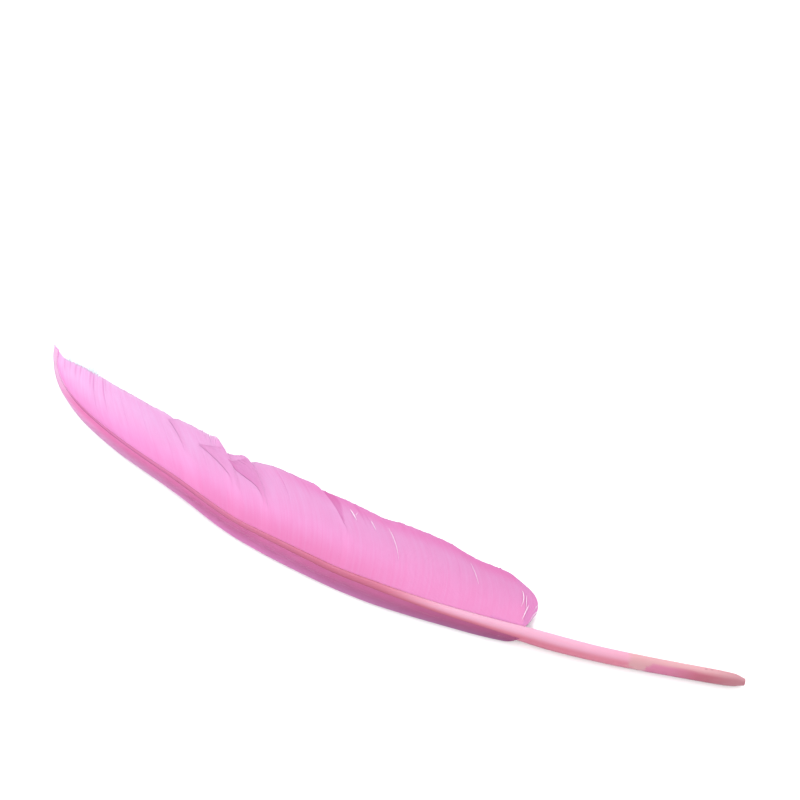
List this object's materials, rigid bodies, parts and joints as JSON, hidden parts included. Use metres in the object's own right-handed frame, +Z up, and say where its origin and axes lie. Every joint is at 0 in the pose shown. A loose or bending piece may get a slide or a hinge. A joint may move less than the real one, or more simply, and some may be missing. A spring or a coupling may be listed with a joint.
{
  "type": "turkey feather",
  "caption": "Long dyed pink turkey wing feather, curved, with a bare quill, a narrow leading vane and a wide split trailing vane, lying flat.",
  "frame": {"origin": "middle of the base of the feather's bounding box, on the surface that it lies on", "axes": "+X from the feather's tip to the end of its quill, +Y towards the edge of the wide vane, +Z up, out of the feather's upper side"},
  "size_m": [0.2995, 0.0397, 0.0071],
  "materials": {
    "vane": "matte",
    "quill": "satin"
  },
  "bodies": {
    "root": {"feather": "vane"}
  },
  "joints": []
}
